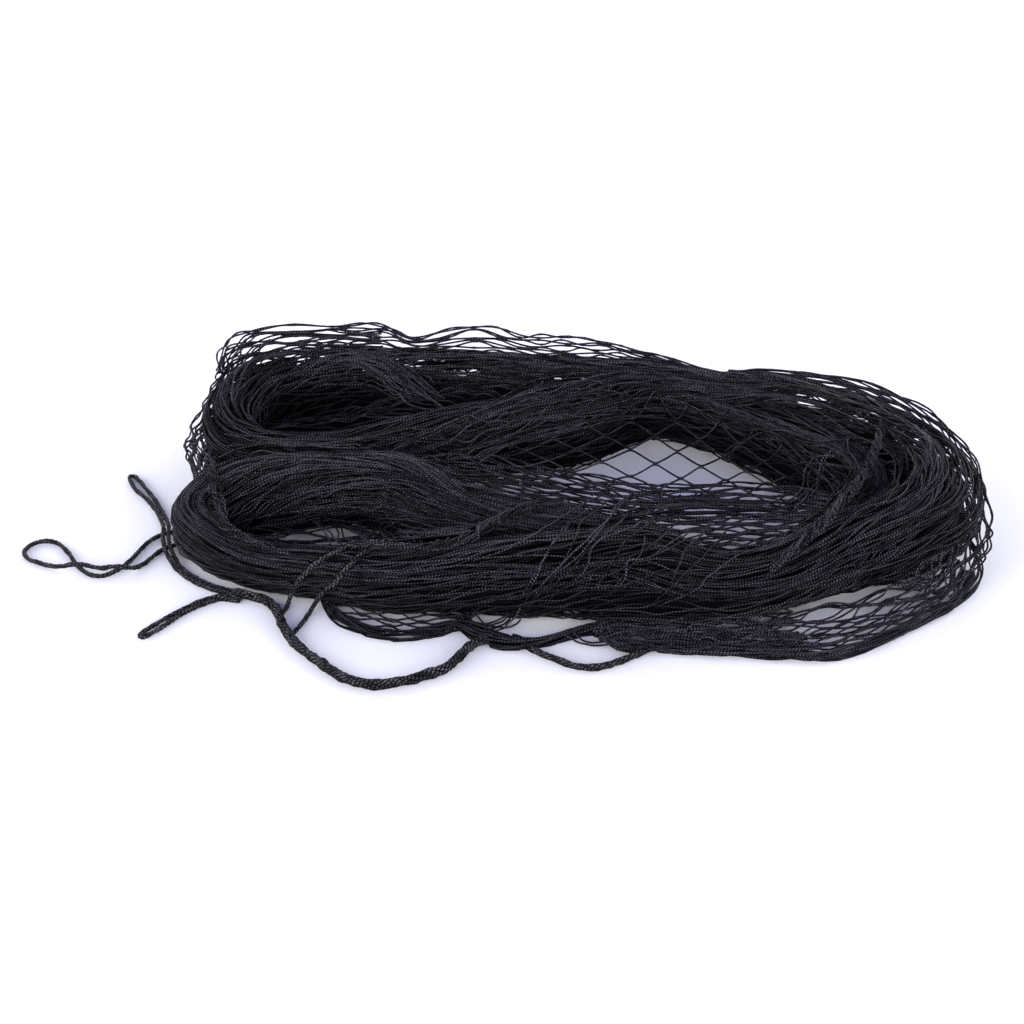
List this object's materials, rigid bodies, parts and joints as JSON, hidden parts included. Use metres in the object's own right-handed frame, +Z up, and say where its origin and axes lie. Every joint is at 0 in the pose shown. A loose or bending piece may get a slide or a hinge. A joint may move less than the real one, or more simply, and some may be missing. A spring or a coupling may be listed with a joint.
{
  "type": "baseball backstop net",
  "caption": "Black knotless twine backstop net, gathered and laid as a flat hank with open meshes at its rims and loose lacing cords, ready to unroll and hang behind home plate.",
  "frame": {"origin": "middle of the netting's footprint, on the surface that it lies on", "axes": "+X along the hank's length to the right, +Y away from the viewer, +Z up"},
  "size_m": [0.9688, 0.5513, 0.1169],
  "materials": {
    "net_twine": "matte twisted black nylon twine",
    "lacing_cord": "matte laid black nylon cord"
  },
  "bodies": {
    "root": {"net": "net_twine", "loop_cord": "lacing_cord", "upper_tail_cord": "lacing_cord", "lower_tail_cord": "lacing_cord", "front_cord": "lacing_cord", "skirt_cord": "lacing_cord", "left_cross_cord": "lacing_cord", "right_cross_cord": "lacing_cord"}
  },
  "joints": []
}
